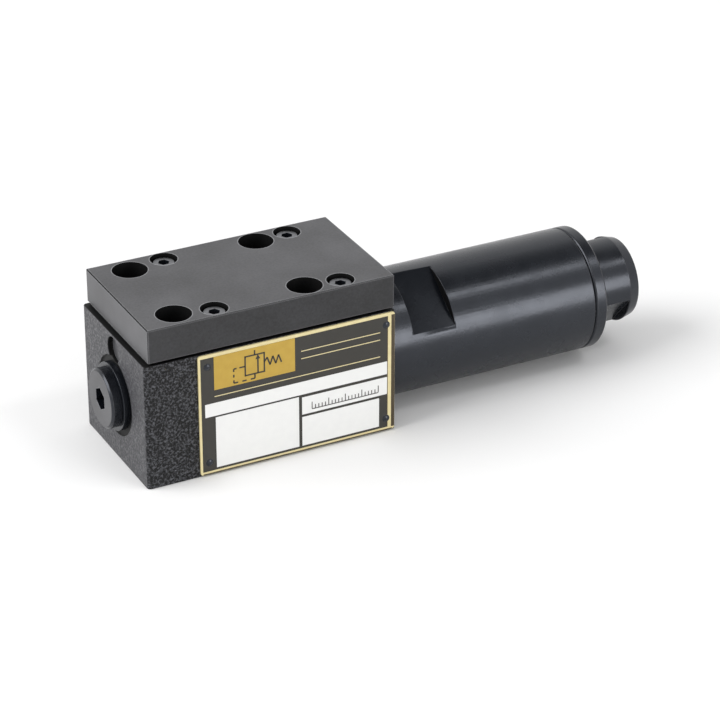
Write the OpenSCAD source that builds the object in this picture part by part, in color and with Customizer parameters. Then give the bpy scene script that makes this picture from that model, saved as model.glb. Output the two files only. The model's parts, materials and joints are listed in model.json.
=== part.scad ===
// Hydraulic sandwich valve, size 6, with its top closed by a cover plate.
// Millimetres. The origin is the centre of the four mounting bolts on the mounting face,
// +X points to the spring housing, +Z points up, and the nameplate is on the -Y side.

/* [Mounting pattern] */
// Distance between the two pairs of mounting bolts, along the valve
bolt_span_x = 40.5; // [39:0.1:42]
// Distance between the two bolts on the plug side
bolt_span_y_plug = 31; // [30:0.1:32]
// Distance between the two bolts on the housing side
bolt_span_y_housing = 32.5; // [31.5:0.1:33]
// Diameter of the mounting bolt holes
bolt_hole_d = 5.5; // [5.2:0.1:6]
// Diameter of the counterbores for the mounting bolt heads
bolt_head_d = 10.5; // [9.5:0.1:11]
// Depth of the counterbores for the mounting bolt heads
bolt_head_depth = 6; // [4:0.1:7]

/* [Ports] */
// Diameter of the four ports
port_d = 7.5; // [6:0.1:8]
// Place of the middle of the port pattern along the valve
port_mid_x = 1.25; // [0.5:0.05:2]
// Distance between ports A and B
port_span_ab = 17.5; // [17:0.1:18]
// Distance between ports P and T
port_span_pt = 20.8; // [20.4:0.1:22]
// Diameter of the seal recess around each port
seal_recess_d = 12.4; // [11.6:0.1:12.8]
// Depth of the seal recess around each port
seal_recess_depth = 1.3; // [1.1:0.05:1.6]
// Width of a squeezed port seal
port_seal_w = 1.9; // [1.7:0.05:2.2]

/* [Body] */
// Length of the valve body
body_l = 79; // [77:0.5:84]
// Distance from the bolt pattern's centre to the body's plug-side face
body_left = 32.7; // [31.5:0.1:34]
// Width of the valve body
body_w = 44.5; // [44:0.1:48]
// Height of the valve body
body_h = 40; // [39:0.1:44]
// Radius of the cast edges on the plug side
cast_edge_r = 1.2; // [0.5:0.1:3]
// Height of the machined land under the cover plate
land_h = 0.6; // [0.3:0.1:1]
// Distance from the body's sides to the machined land
land_inset = 2; // [1:0.1:2.5]
// Height of the spool's axis above the mounting face
bore_z = 20; // [19.6:0.1:21]

/* [Cover plate] */
// Thickness of the cover plate
plate_t = 10.5; // [9.5:0.1:14]
// Distance from the body's plug-side face to the cover plate
plate_inset_plug = 1.5; // [0.5:0.1:2]
// Distance from the body's other sides to the cover plate
plate_inset = 0.15; // [0.05:0.05:0.4]
// Chamfer on the cover plate's edges
plate_chamfer = 0.3; // [0.1:0.05:0.6]
// Place of the plug-side cover screws along the valve
cover_screw_x_plug = -8.7; // [-9.2:0.1:-8]
// Place of the housing-side cover screws along the valve
cover_screw_x_housing = 31; // [30.8:0.1:31.6]
// Distance between the cover screws across the valve
cover_screw_span_y = 35.2; // [34.8:0.1:35.6]
// Thread diameter of the cover screws
cover_screw_d = 4; // [3:0.5:4]
// Head diameter of the cover screws
cover_head_d = 7; // [6:0.1:7.4]
// Head height of the cover screws
cover_head_h = 4; // [3:0.1:4.4]
// Depth of the screw heads' tops below the plate
cover_head_sunk = 1; // [0.3:0.1:1.6]
// Diameter of the cover screws' counterbores
cover_counterbore_d = 8.2; // [7.8:0.1:8.4]
// Width across flats of the cover screws' sockets
cover_socket_af = 3; // [2.5:0.5:4]
// Depth of the cover screws' sockets
cover_socket_depth = 2.2; // [1.5:0.1:2.6]
// Length of the cover screws' thread in the body
cover_thread_l = 10; // [8:0.5:11]

/* [End plug] */
// Thread diameter of the end plug
plug_thread_d = 13; // [12:0.1:14]
// Length of the end plug's thread
plug_thread_l = 11; // [9:0.1:12]
// Diameter of the end plug's collar
plug_collar_d = 18; // [17:0.1:19]
// Thickness of the end plug's collar
plug_collar_t = 3.2; // [2.5:0.1:4.5]
// Chamfer on the end plug's collar
plug_collar_chamfer = 0.6; // [0.2:0.1:1]
// Width across flats of the end plug's socket
plug_socket_af = 6; // [5:0.5:8]
// Depth of the end plug's socket
plug_socket_depth = 7; // [5:0.5:9]
// Outer diameter of the end plug's sealing washer
plug_seal_d = 20.5; // [19.5:0.1:22]
// Thickness of the end plug's sealing washer
plug_seal_t = 2; // [1:0.1:2.5]
// Diameter of the spot face under the sealing washer
spot_face_d = 24; // [23:0.1:25]
// Depth of the spot face
spot_face_depth = 0.6; // [0.3:0.1:1.2]
// Distance from the body's top to the small drilling
drilling_drop = 5.4; // [5:0.1:5.8]
// Diameter of the small drilling's plug
drilling_plug_d = 8; // [6:0.1:8.4]
// Length of the small drilling's plug
drilling_plug_l = 4; // [3:0.1:6]
// Depth of the drilling's plug below the body's face
drilling_plug_sunk = 1.6; // [1:0.1:3]
// Diameter of the small drilling
drilling_d = 3.5; // [2.5:0.1:4]

/* [Spool] */
// Diameter of the spool's lands
spool_d = 10; // [9:0.1:10.4]
// Diameter of the spool's waist and stem
spool_waist_d = 6.5; // [5:0.1:7]
// Depth of the grooves around the spool bore at ports A and B
groove_depth = 2.5; // [1.5:0.1:2.6]
// Travel of the spool
spool_travel = 4; // [3:0.1:4.2]
// Opening from P to A with the spool at rest
spool_opening = 2.2; // [1.5:0.1:2.6]
// Diameter of the cross drilling from port P to the spool bore
cross_drilling_d = 5; // [3:0.1:5]
// Diameter of the sensing hole in the spool
sensing_hole_d = 2; // [1:0.1:2.5]
// Diameter of the drain drilling from the spring chamber to port T
drain_d = 4; // [2:0.1:4]

/* [Spring housing] */
// Diameter of the spring housing
housing_d = 38; // [37:0.1:39]
// Length of the spring housing outside the body
housing_l = 70.7; // [68:0.1:80]
// Diameter of the spring chamber
chamber_d = 26; // [25.4:0.1:26.6]
// Thread diameter of the housing's spigot in the body
spigot_d = 28; // [27:0.1:28.6]
// Length of the housing's spigot in the body
spigot_l = 12; // [10:0.1:12.2]
// Inner diameter of the housing's spigot
spigot_bore_d = 22; // [20:0.1:22.6]
// Distance from the body to the shoulder that stops the inner spring seat
shoulder_offset = 3.7; // [3:0.1:6]
// Width across the housing's wrench flats
housing_flats_af = 32; // [31:0.1:34]
// Length of the housing's wrench flats
housing_flats_l = 13.8; // [10:0.1:16]
// Distance from the body to the housing's wrench flats
housing_flats_offset = 8.7; // [6:0.1:12]
// Direction of the housing's front wrench flat, from +Y towards +Z
housing_flats_angle = 126; // [90:1:180]
// Chamfer on the housing's edges
housing_chamfer = 0.5; // [0.2:0.1:1]

/* [End cover and cap] */
// Thickness of the end cover's flange
flange_t = 4; // [3:0.1:6]
// Thread diameter of the end cover in the housing
cover_thread_d = 30; // [29:0.1:31]
// Length of the end cover's thread in the housing
cover_plug_l = 12; // [9:0.1:14]
// Diameter of the boss that carries the protective cap
boss_d = 16; // [15.8:0.1:16.6]
// Length of the boss that carries the protective cap
boss_l = 5.5; // [5:0.1:8]
// Diameter of the protective cap
cap_d = 26.5; // [25.5:0.1:28]
// Thickness of the protective cap's end wall
cap_end_t = 3.1; // [2.2:0.1:4]
// Length of the bevel at the protective cap's end
cap_bevel_l = 3.4; // [2:0.1:5]
// Depth of the bevel at the protective cap's end
cap_bevel_depth = 0.9; // [0.4:0.1:2]
// Width across the protective cap's wrench flats
cap_flats_af = 22; // [21.6:0.1:23]
// Distance from the protective cap's wrench flats to its bevel
cap_flats_gap = 0.3; // [0.2:0.1:3]
// Direction of the protective cap's front wrench flat, from +Y towards +Z
cap_flats_angle = 221; // [180:1:270]
// Room between the adjusting screw and the protective cap
cap_room = 1.2; // [0.5:0.1:4]

/* [Adjuster and spring] */
// Thread diameter of the adjusting screw
adjuster_d = 8; // [6:0.1:8]
// Width across flats of the adjusting screw's socket
adjuster_socket_af = 4; // [3:0.5:4]
// Depth of the adjusting screw's socket
adjuster_socket_depth = 4.5; // [3:0.5:6]
// Length of the adjusting screw outside the lock nut
adjuster_proud = 1.2; // [0.5:0.1:3]
// Width across flats of the lock nut
nut_af = 13; // [11:0.5:13]
// Thickness of the lock nut
nut_t = 4; // [3:0.1:6]
// Wire diameter of the main spring
wire_d = 3.6; // [2.6:0.1:4]
// Number of turns of the main spring, closed ends included
spring_turns = 6.5; // [5:0.5:7]
// Thickness of the spring seats
seat_t = 4; // [3:0.1:5]
// Length of the spring seats' pilots inside the spring
seat_pilot_l = 6; // [3:0.1:8]
// Room behind the outer spring seat
seat_back_room = 5; // [2:0.1:7]

/* [Nameplate] */
// Distance from the body's plug-side face to the nameplate
nameplate_margin = 16.3; // [14:0.1:17.4]
// Height of the nameplate
nameplate_h = 38.5; // [34:0.1:38.6]
// Thickness of the nameplate
nameplate_t = 0.5; // [0.3:0.1:1]
// Height of the nameplate's lower edge above the mounting face
nameplate_z = 0.6; // [0.4:0.1:0.8]
// Distance from the nameplate to the body's housing-side face
nameplate_inset = 0.3; // [0.2:0.1:1]
// Radius of the nameplate's corners
nameplate_corner_r = 0.8; // [0.3:0.1:2]
// Distance from the nameplate's ends to its rivets
rivet_inset_x = 2.8; // [2.2:0.1:5]
// Distance from the nameplate's long edges to its rivets
rivet_inset_z = 3.8; // [2.4:0.1:5]
// Head diameter of the rivets
rivet_head_d = 2.4; // [2:0.1:3]
// Head height of the rivets
rivet_head_h = 0.5; // [0.3:0.1:0.8]
// Shank diameter of the rivets
rivet_d = 1.6; // [1.2:0.1:1.8]
// Length of the rivets in the body
rivet_l = 4; // [2:0.1:4.5]

/* [Fits] */
// Radial gap between a screw thread and its hole
thread_gap = 0.06; // [0.03:0.01:0.1]
// Radial gap between the spool and its bore
spool_gap = 0.02; // [0.01:0.01:0.04]
// Gap between faces that come to rest against each other
seat_gap = 0.1; // [0.05:0.05:0.2]
// Radial gap between the lock nut's corners and the protective cap
nut_room = 0.4; // [0.2:0.1:0.5]
// Radial gap around the spring and its seats
spring_gap = 0.6; // [0.4:0.1:0.8]
// Cord diameter of the round seals
seal_cord = 1.9; // [1.8:0.1:2]
// Gap on each side of a round seal in its groove
seal_gap = 0.12; // [0.05:0.01:0.2]

/* [Hidden] */
$fn = 72;

// Cutters reach this far past the faces they open
past = 1;
// Small chamfer of turned parts that nobody sees
turned_chamfer = 0.4;

// Faces of the body and the plate along the valve
body_x0 = -body_left;
body_x1 = body_x0 + body_l;
plate_x0 = body_x0 + plate_inset_plug;
plate_x1 = body_x1 - plate_inset;
plate_w = body_w - 2 * plate_inset;
plate_z1 = body_h + plate_t;

// Places of bolts, cover screws and ports on the mounting face
bolt_places = [
    for (side = [-1, 1]) [-bolt_span_x / 2, side * bolt_span_y_plug / 2],
    for (side = [-1, 1]) [bolt_span_x / 2, side * bolt_span_y_housing / 2],
];
cover_screw_places = [
    for (x = [cover_screw_x_plug, cover_screw_x_housing], side = [-1, 1]) [x, side * cover_screw_span_y / 2],
];
port_p = [port_mid_x, port_span_pt / 2];
port_t = [port_mid_x, -port_span_pt / 2];
port_a = [port_mid_x - port_span_ab / 2, 0];
port_b = [port_mid_x + port_span_ab / 2, 0];
port_places = [port_p, port_a, port_b, port_t];

// Cover screws
cover_counterbore_depth = cover_head_h + cover_head_sunk;
cover_head_z0 = plate_z1 - cover_counterbore_depth;
cover_thread_room = 2;
cover_screw_l = cover_head_z0 - body_h + cover_thread_l;

// End plug and small drilling
plug_seat_x = body_x0 + spot_face_depth;
plug_collar_x0 = plug_seat_x - plug_seal_t - plug_collar_t;
plug_thread_x1 = plug_seat_x + plug_thread_l;
plug_hole_x1 = plug_thread_x1 + seat_gap;
plug_hole_r = plug_thread_d / 2 + thread_gap;
drilling_z = body_h - drilling_drop;
drilling_plug_x0 = body_x0 + drilling_plug_sunk;
pilot_x = plug_hole_x1 + drilling_d;

// Spool bore, its grooves and the spool
bore_r = spool_d / 2 + spool_gap;
groove_r = bore_r + groove_depth;
groove_a_x0 = port_a.x - port_d / 2;
groove_a_x1 = port_a.x + port_d / 2;
groove_b_x0 = port_b.x - port_d / 2;
groove_b_x1 = port_b.x + port_d / 2;
spigot_x0 = body_x1 - spigot_l;
spigot_hole_x0 = spigot_x0 - seat_gap;
land_overlap = 1;
spool_end_room = 1.5;
spool_x0 = plug_hole_x1 + spool_end_room;
waist_x0 = groove_a_x1 - spool_opening;
waist_x1 = groove_b_x0 - spool_travel - land_overlap;
sensing_x = groove_a_x0 + sensing_hole_d;

// Drain drilling: it meets port T and opens into the housing's spigot
drain_y = port_t.y + drain_d / 2;
drain_drop = (spigot_bore_d - drain_d) / 2 * sin(acos(abs(drain_y) / (spigot_bore_d / 2)));
drain_z = bore_z - max(drain_drop, groove_r + drain_d / 2 - abs(drain_y));

// Spring housing and its seal
housing_r = housing_d / 2;
housing_x1 = body_x1 + housing_l;
shoulder_x = body_x1 + shoulder_offset;
spigot_hole_r = spigot_d / 2 + thread_gap;
seal_groove_w = seal_cord + 2 * seal_gap;
housing_seal_r = spigot_d / 2 + seal_gap + seal_cord / 2;
housing_seal_hole_r = housing_seal_r + seal_cord / 2 + seal_gap;

// Spring seats and spring
seat_r = chamber_d / 2 - spring_gap;
spring_mean_r = seat_r - wire_d / 2;
pilot_r = spring_mean_r - wire_d / 2 - spring_gap;
seat_recess = 1.5;
inner_seat_x0 = shoulder_x + seat_gap;
inner_seat_x1 = inner_seat_x0 + seat_t;
cover_inner_x = housing_x1 - cover_plug_l;
outer_seat_x1 = cover_inner_x - seat_back_room;
outer_seat_x0 = outer_seat_x1 - seat_t;

// End cover, adjuster, lock nut and cap
flange_x1 = housing_x1 + flange_t;
boss_x1 = flange_x1 + boss_l;
nut_x1 = boss_x1 + nut_t;
adjuster_x1 = nut_x1 + adjuster_proud;
adjuster_tip_d = adjuster_d - 2.5;
adjuster_hole_r = adjuster_d / 2 + thread_gap;
cover_hole_r = cover_thread_d / 2 + thread_gap;
cover_seal_r = cover_thread_d / 2 - seal_cord / 2;
cover_seal_groove_r = cover_seal_r - seal_cord / 2 - seal_gap;
adjuster_seal_r = adjuster_d / 2 + seal_gap + seal_cord / 2;
adjuster_seal_groove_r = adjuster_seal_r + seal_cord / 2 + seal_gap;
adjuster_seal_x = cover_inner_x + cover_plug_l / 2;
cap_x0 = flange_x1 + seat_gap;
cap_cavity_x1 = adjuster_x1 + cap_room;
cap_x1 = cap_cavity_x1 + cap_end_t;
cap_bevel_x0 = cap_x1 - cap_bevel_l;
cap_flats_x1 = cap_bevel_x0 - cap_flats_gap;
cap_bore_r = boss_d / 2 + thread_gap;
cap_seal_r = cap_bore_r + seal_gap + seal_cord / 2;
cap_seal_groove_r = cap_seal_r + seal_cord / 2 + seal_gap;

// Nameplate
body_front_y = -body_w / 2;
nameplate_x0 = body_x0 + nameplate_margin;
nameplate_x1 = body_x1 - nameplate_inset;
nameplate_l = nameplate_x1 - nameplate_x0;
nameplate_front_y = body_front_y - nameplate_t;
rivet_places = [
    for (x = [nameplate_x0 + rivet_inset_x, nameplate_x1 - rivet_inset_x],
         z = [nameplate_z + rivet_inset_z, nameplate_z + nameplate_h - rivet_inset_z]) [x, z],
];

cast_black = "#35353a";
ground_grey = "#5f6062";
oxide_black = "#2b2c2f";
steel_grey = "#9a9c9f";
rubber_black = "#1b1b1c";
plate_gold = "#b9a257";

// Solid of revolution about the spool's axis, from [radius, x] points
module turned(outline) {
    translate([0, 0, bore_z]) rotate([0, 90, 0]) rotate_extrude() polygon(outline);
}

// Straight cylinder on the spool's axis
module on_axis(x0, x1, r) {
    translate([x0, 0, bore_z]) rotate([0, 90, 0]) cylinder(h = x1 - x0, r = r);
}

// Round seal on the spool's axis
module axis_seal(x, mean_r) {
    translate([x, 0, bore_z]) rotate([0, 90, 0])
        rotate_extrude() translate([mean_r, 0]) circle(d = seal_cord);
}

// Hexagon along Z, from its width across flats
module hexagon(af, h) {
    cylinder(h = h, d = af / cos(30), $fn = 6);
}

// Hexagon socket on the spool's axis, cut inwards from x towards +X or -X
module axis_socket(x, af, depth, direction) {
    translate([x - direction * past, 0, bore_z]) rotate([0, direction * 90, 0])
        hexagon(af, depth + past);
}

// Two opposite wrench flats on the spool's axis
module flats_cut(x0, length, af, angle, reach) {
    for (side = [0, 180])
        translate([x0, 0, bore_z]) rotate([angle + side, 0, 0])
            translate([0, af / 2, -reach]) cube([length, reach, 2 * reach]);
}

// Rectangle with its lower left corner at the origin and its corners cut off
module chamfered_rect(size, chamfer) {
    polygon([
        [chamfer, 0], [size.x - chamfer, 0], [size.x, chamfer], [size.x, size.y - chamfer],
        [size.x - chamfer, size.y], [chamfer, size.y], [0, size.y - chamfer], [0, chamfer],
    ]);
}

// Block with its low corner at the origin and a chamfer on every edge
module chamfered_block(size, chamfer) {
    intersection() {
        linear_extrude(size.z) chamfered_rect([size.x, size.y], chamfer);
        translate([0, size.y, 0]) rotate([90, 0, 0])
            linear_extrude(size.y) chamfered_rect([size.x, size.z], chamfer);
        rotate([90, 0, 90]) linear_extrude(size.x) chamfered_rect([size.y, size.z], chamfer);
    }
}

// Ring of an O-ring squeezed flat between two faces
module squeezed_ring(outer_d, w, h) {
    rotate_extrude() translate([(outer_d - w) / 2, h / 2]) {
        square([w - h, h], center = true);
        for (side = [-1, 1]) translate([side * (w - h) / 2, 0]) circle(d = h);
    }
}

// One port seal in its recess, at a height
module port_seal(place, z) {
    translate([place.x, place.y, z])
        squeezed_ring(seal_recess_d - 2 * seal_gap, port_seal_w, seal_recess_depth);
}

// Vertical holes at a list of places
module holes_down(places, d, z0, z1) {
    for (p = places) translate([p.x, p.y, z0]) cylinder(h = z1 - z0, d = d);
}

// The body's plan, rounded on the plug side where it stays as cast
module body_plan() {
    translate([body_x0 + cast_edge_r, -body_w / 2]) square([body_l - cast_edge_r, body_w]);
    translate([body_x0, cast_edge_r - body_w / 2]) square([cast_edge_r, body_w - 2 * cast_edge_r]);
    for (side = [-1, 1])
        translate([body_x0 + cast_edge_r, side * (body_w / 2 - cast_edge_r)]) circle(r = cast_edge_r);
}

module body_block() {
    linear_extrude(body_h - land_h) body_plan();
    translate([body_x0 + land_inset, land_inset - body_w / 2, 0])
        cube([body_l - 2 * land_inset, body_w - 2 * land_inset, body_h]);
}

// Bores along the spool's axis, from the plug side to the housing side
module body_axis_cuts() {
    on_axis(body_x0 - past, plug_seat_x, spot_face_d / 2);
    on_axis(body_x0 - past, plug_hole_x1, plug_hole_r);
    on_axis(plug_hole_x1 - past, spigot_hole_x0 + past, bore_r);
    on_axis(groove_a_x0, groove_a_x1, groove_r);
    on_axis(groove_b_x0, groove_b_x1, groove_r);
    on_axis(spigot_hole_x0, body_x1 + past, spigot_hole_r);
    on_axis(body_x1 - seal_groove_w, body_x1 + past, housing_seal_hole_r);
}

// Small drillings: sensing line above the plug, pilot, cross drilling from P and drain to T
module body_drillings() {
    translate([body_x0 - past, 0, drilling_z]) rotate([0, 90, 0]) {
        cylinder(h = past + drilling_plug_sunk + drilling_plug_l, d = drilling_plug_d);
        cylinder(h = past + port_a.x - body_x0, d = drilling_d);
    }
    translate([pilot_x, 0, bore_z]) cylinder(h = body_h + past - bore_z, d = drilling_d);
    translate([port_p.x, port_p.y, bore_z]) rotate([90, 0, 0])
        cylinder(h = port_p.y, d = cross_drilling_d);
    translate([port_t.x, drain_y, drain_z]) rotate([0, 90, 0])
        cylinder(h = spigot_hole_x0 + past - port_t.x, d = drain_d);
}

module valve_body() {
    color(cast_black) difference() {
        body_block();
        body_axis_cuts();
        body_drillings();
        holes_down(bolt_places, bolt_hole_d, -past, body_h + past);
        holes_down(port_places, port_d, -past, body_h + past);
        holes_down(port_places, seal_recess_d, -past, seal_recess_depth);
        holes_down(cover_screw_places, cover_screw_d + 2 * thread_gap,
                   body_h - cover_thread_l - cover_thread_room, body_h + past);
        for (p = rivet_places)
            translate([p.x, body_front_y - past, p.y]) rotate([-90, 0, 0])
                cylinder(h = past + rivet_l + seat_gap, d = rivet_d + 2 * thread_gap);
    }
}

module cover_plate() {
    color(ground_grey) difference() {
        translate([plate_x0, -plate_w / 2, body_h])
            chamfered_block([plate_x1 - plate_x0, plate_w, plate_t], plate_chamfer);
        holes_down(bolt_places, bolt_hole_d, body_h - past, plate_z1 + past);
        holes_down(bolt_places, bolt_head_d, plate_z1 - bolt_head_depth, plate_z1 + past);
        holes_down(cover_screw_places, cover_screw_d + 2 * thread_gap, body_h - past, plate_z1 + past);
        holes_down(cover_screw_places, cover_counterbore_d, cover_head_z0, plate_z1 + past);
        holes_down(port_places, seal_recess_d, body_h - past, body_h + seal_recess_depth);
    }
}

// Socket head screw with its head's underside at the origin, pointing down
module socket_head_screw() {
    difference() {
        rotate_extrude() polygon([
            [0, -cover_screw_l], [cover_screw_d / 2 - turned_chamfer, -cover_screw_l],
            [cover_screw_d / 2, turned_chamfer - cover_screw_l], [cover_screw_d / 2, 0],
            [cover_head_d / 2, 0], [cover_head_d / 2, cover_head_h - turned_chamfer],
            [cover_head_d / 2 - turned_chamfer, cover_head_h], [0, cover_head_h],
        ]);
        translate([0, 0, cover_head_h - cover_socket_depth])
            hexagon(cover_socket_af, cover_socket_depth + past);
    }
}

module cover_screws() {
    color(oxide_black) for (p = cover_screw_places)
        translate([p.x, p.y, cover_head_z0]) socket_head_screw();
}

module cover_plate_seals() {
    color(rubber_black) for (p = port_places) port_seal(p, body_h);
}

module port_seal_p() {
    color(rubber_black) port_seal(port_p, 0);
}

module port_seal_a() {
    color(rubber_black) port_seal(port_a, 0);
}

module port_seal_b() {
    color(rubber_black) port_seal(port_b, 0);
}

module port_seal_t() {
    color(rubber_black) port_seal(port_t, 0);
}

module end_plug() {
    collar_r = plug_collar_d / 2;
    thread_r = plug_thread_d / 2;
    color(oxide_black) difference() {
        turned([
            [0, plug_collar_x0], [collar_r - plug_collar_chamfer, plug_collar_x0],
            [collar_r, plug_collar_x0 + plug_collar_chamfer], [collar_r, plug_seat_x - plug_seal_t],
            [thread_r, plug_seat_x - plug_seal_t], [thread_r, plug_thread_x1 - turned_chamfer],
            [thread_r - turned_chamfer, plug_thread_x1], [0, plug_thread_x1],
        ]);
        axis_socket(plug_collar_x0, plug_socket_af, plug_socket_depth, 1);
    }
}

module end_plug_seal() {
    color(oxide_black) difference() {
        on_axis(plug_seat_x - plug_seal_t, plug_seat_x, plug_seal_d / 2);
        on_axis(plug_seat_x - plug_seal_t - past, plug_seat_x + past, plug_hole_r);
    }
}

module drilling_plug() {
    color(oxide_black) translate([drilling_plug_x0, 0, drilling_z]) rotate([0, 90, 0])
        cylinder(h = drilling_plug_l, d = drilling_plug_d);
}

module spool() {
    land_r = spool_d / 2;
    waist_r = spool_waist_d / 2;
    color(steel_grey) difference() {
        turned([
            [0, spool_x0], [land_r, spool_x0], [land_r, waist_x0], [waist_r, waist_x0],
            [waist_r, waist_x1], [land_r, waist_x1], [land_r, spigot_hole_x0], [waist_r, spigot_hole_x0],
            [waist_r, inner_seat_x0 + seat_recess], [0, inner_seat_x0 + seat_recess],
        ]);
        on_axis(spool_x0 - past, sensing_x, sensing_hole_d / 2);
        translate([sensing_x, 0, bore_z]) cylinder(h = spool_d + past, d = sensing_hole_d, center = true);
    }
}

module inner_spring_seat() {
    color(steel_grey) difference() {
        turned([
            [0, inner_seat_x0], [seat_r, inner_seat_x0], [seat_r, inner_seat_x1],
            [pilot_r, inner_seat_x1], [pilot_r, inner_seat_x1 + seat_pilot_l],
            [0, inner_seat_x1 + seat_pilot_l],
        ]);
        on_axis(inner_seat_x0 - past, inner_seat_x0 + seat_recess, spool_waist_d / 2 + thread_gap);
    }
}

// The spring's wire follows a helix whose first and last turns lie closed
spring_ring_sides = 10;
spring_rings_per_turn = 24;
spring_closed_pitch = 1.08 * wire_d;
spring_run = outer_seat_x0 - inner_seat_x1 - wire_d - 2 * seat_gap;
spring_open_pitch = (spring_run - 2 * spring_closed_pitch) / (spring_turns - 2);
function spring_rise(turn) =
    turn < 1 ? turn * spring_closed_pitch :
    turn < spring_turns - 1 ? spring_closed_pitch + (turn - 1) * spring_open_pitch :
    spring_run - (spring_turns - turn) * spring_closed_pitch;
function spring_point(turn, around) =
    let (r = spring_mean_r + wire_d / 2 * cos(around))
    [
        inner_seat_x1 + seat_gap + wire_d / 2 + spring_rise(turn) + wire_d / 2 * sin(around),
        r * cos(360 * turn),
        bore_z + r * sin(360 * turn),
    ];

module main_spring() {
    sides = spring_ring_sides;
    rings = ceil(spring_turns * spring_rings_per_turn);
    points = [
        for (i = [0 : rings], j = [0 : sides - 1])
            spring_point(spring_turns * i / rings, 360 * j / sides),
    ];
    walls = [
        for (i = [0 : rings - 1], j = [0 : sides - 1])
            let (k = (j + 1) % sides)
            [i * sides + j, i * sides + k, (i + 1) * sides + k, (i + 1) * sides + j],
    ];
    first_end = [for (j = [sides - 1 : -1 : 0]) j];
    last_end = [for (j = [0 : sides - 1]) rings * sides + j];
    color(steel_grey) polyhedron(points = points, faces = concat(walls, [first_end, last_end]));
}

module outer_spring_seat() {
    color(steel_grey) difference() {
        turned([
            [0, outer_seat_x0 - seat_pilot_l], [pilot_r, outer_seat_x0 - seat_pilot_l],
            [pilot_r, outer_seat_x0], [seat_r, outer_seat_x0], [seat_r, outer_seat_x1], [0, outer_seat_x1],
        ]);
        on_axis(outer_seat_x1 - seat_recess, outer_seat_x1 + past, adjuster_tip_d / 2 + seat_gap);
    }
}

module spring_housing() {
    chamber_r = chamber_d / 2;
    spigot_r = spigot_d / 2;
    spigot_bore_r = spigot_bore_d / 2;
    color(oxide_black) difference() {
        turned([
            [spigot_bore_r, spigot_x0], [spigot_r - turned_chamfer, spigot_x0],
            [spigot_r, spigot_x0 + turned_chamfer], [spigot_r, body_x1],
            [housing_r - housing_chamfer, body_x1], [housing_r, body_x1 + housing_chamfer],
            [housing_r, housing_x1 - housing_chamfer], [housing_r - housing_chamfer, housing_x1],
            [cover_hole_r, housing_x1], [cover_hole_r, cover_inner_x - turned_chamfer],
            [chamber_r, cover_inner_x - turned_chamfer], [chamber_r, shoulder_x],
            [spigot_bore_r, shoulder_x],
        ]);
        flats_cut(body_x1 + housing_flats_offset, housing_flats_l, housing_flats_af,
                  housing_flats_angle, housing_d);
    }
}

module housing_seal() {
    color(rubber_black) axis_seal(body_x1 - seal_groove_w / 2, housing_seal_r);
}

module end_cover() {
    thread_r = cover_thread_d / 2;
    boss_r = boss_d / 2;
    seal_x0 = adjuster_seal_x - seal_groove_w / 2;
    seal_x1 = adjuster_seal_x + seal_groove_w / 2;
    color(oxide_black) turned([
        [adjuster_hole_r, cover_inner_x], [thread_r - turned_chamfer, cover_inner_x],
        [thread_r, cover_inner_x + turned_chamfer], [thread_r, housing_x1 - seal_groove_w],
        [cover_seal_groove_r, housing_x1 - seal_groove_w], [cover_seal_groove_r, housing_x1],
        [housing_r - housing_chamfer, housing_x1], [housing_r, housing_x1 + housing_chamfer],
        [housing_r, flange_x1 - housing_chamfer], [housing_r - housing_chamfer, flange_x1],
        [boss_r, flange_x1], [boss_r, boss_x1 - turned_chamfer], [boss_r - turned_chamfer, boss_x1],
        [adjuster_hole_r, boss_x1], [adjuster_hole_r, seal_x1], [adjuster_seal_groove_r, seal_x1],
        [adjuster_seal_groove_r, seal_x0], [adjuster_hole_r, seal_x0],
    ]);
}

module end_cover_seal() {
    color(rubber_black) axis_seal(housing_x1 - seal_groove_w / 2, cover_seal_r);
}

module adjusting_screw() {
    tip_r = adjuster_tip_d / 2;
    tip_x0 = outer_seat_x1 - seat_recess;
    thread_x0 = outer_seat_x1 + seat_recess;
    screw_r = adjuster_d / 2;
    color(steel_grey) difference() {
        turned([
            [0, tip_x0], [tip_r, tip_x0], [tip_r, thread_x0], [screw_r, thread_x0],
            [screw_r, adjuster_x1 - turned_chamfer], [screw_r - turned_chamfer, adjuster_x1],
            [0, adjuster_x1],
        ]);
        axis_socket(adjuster_x1, adjuster_socket_af, adjuster_socket_depth, -1);
    }
}

module adjusting_screw_seal() {
    color(rubber_black) axis_seal(adjuster_seal_x, adjuster_seal_r);
}

module lock_nut() {
    color(steel_grey) difference() {
        translate([boss_x1, 0, bore_z]) rotate([0, 90, 0]) hexagon(nut_af, nut_t);
        on_axis(boss_x1 - past, nut_x1 + past, adjuster_hole_r);
    }
}

module protective_cap() {
    cap_r = cap_d / 2;
    cavity_r = nut_af / 2 / cos(30) + nut_room;
    color(oxide_black) difference() {
        turned([
            [0, cap_x0], [cap_r, cap_x0], [cap_r, cap_bevel_x0], [cap_r - cap_bevel_depth, cap_x1], [0, cap_x1],
        ]);
        on_axis(cap_x0 - past, boss_x1 + seat_gap, cap_bore_r);
        on_axis(cap_x0, cap_cavity_x1, cavity_r);
        on_axis(cap_x0 - past, cap_x0 + seal_groove_w, cap_seal_groove_r);
        flats_cut(cap_x0 - past, cap_flats_x1 - cap_x0 + past, cap_flats_af, cap_flats_angle, cap_d);
    }
}

module cap_seal() {
    color(rubber_black) axis_seal(cap_x0 + seal_groove_w / 2, cap_seal_r);
}

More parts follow.
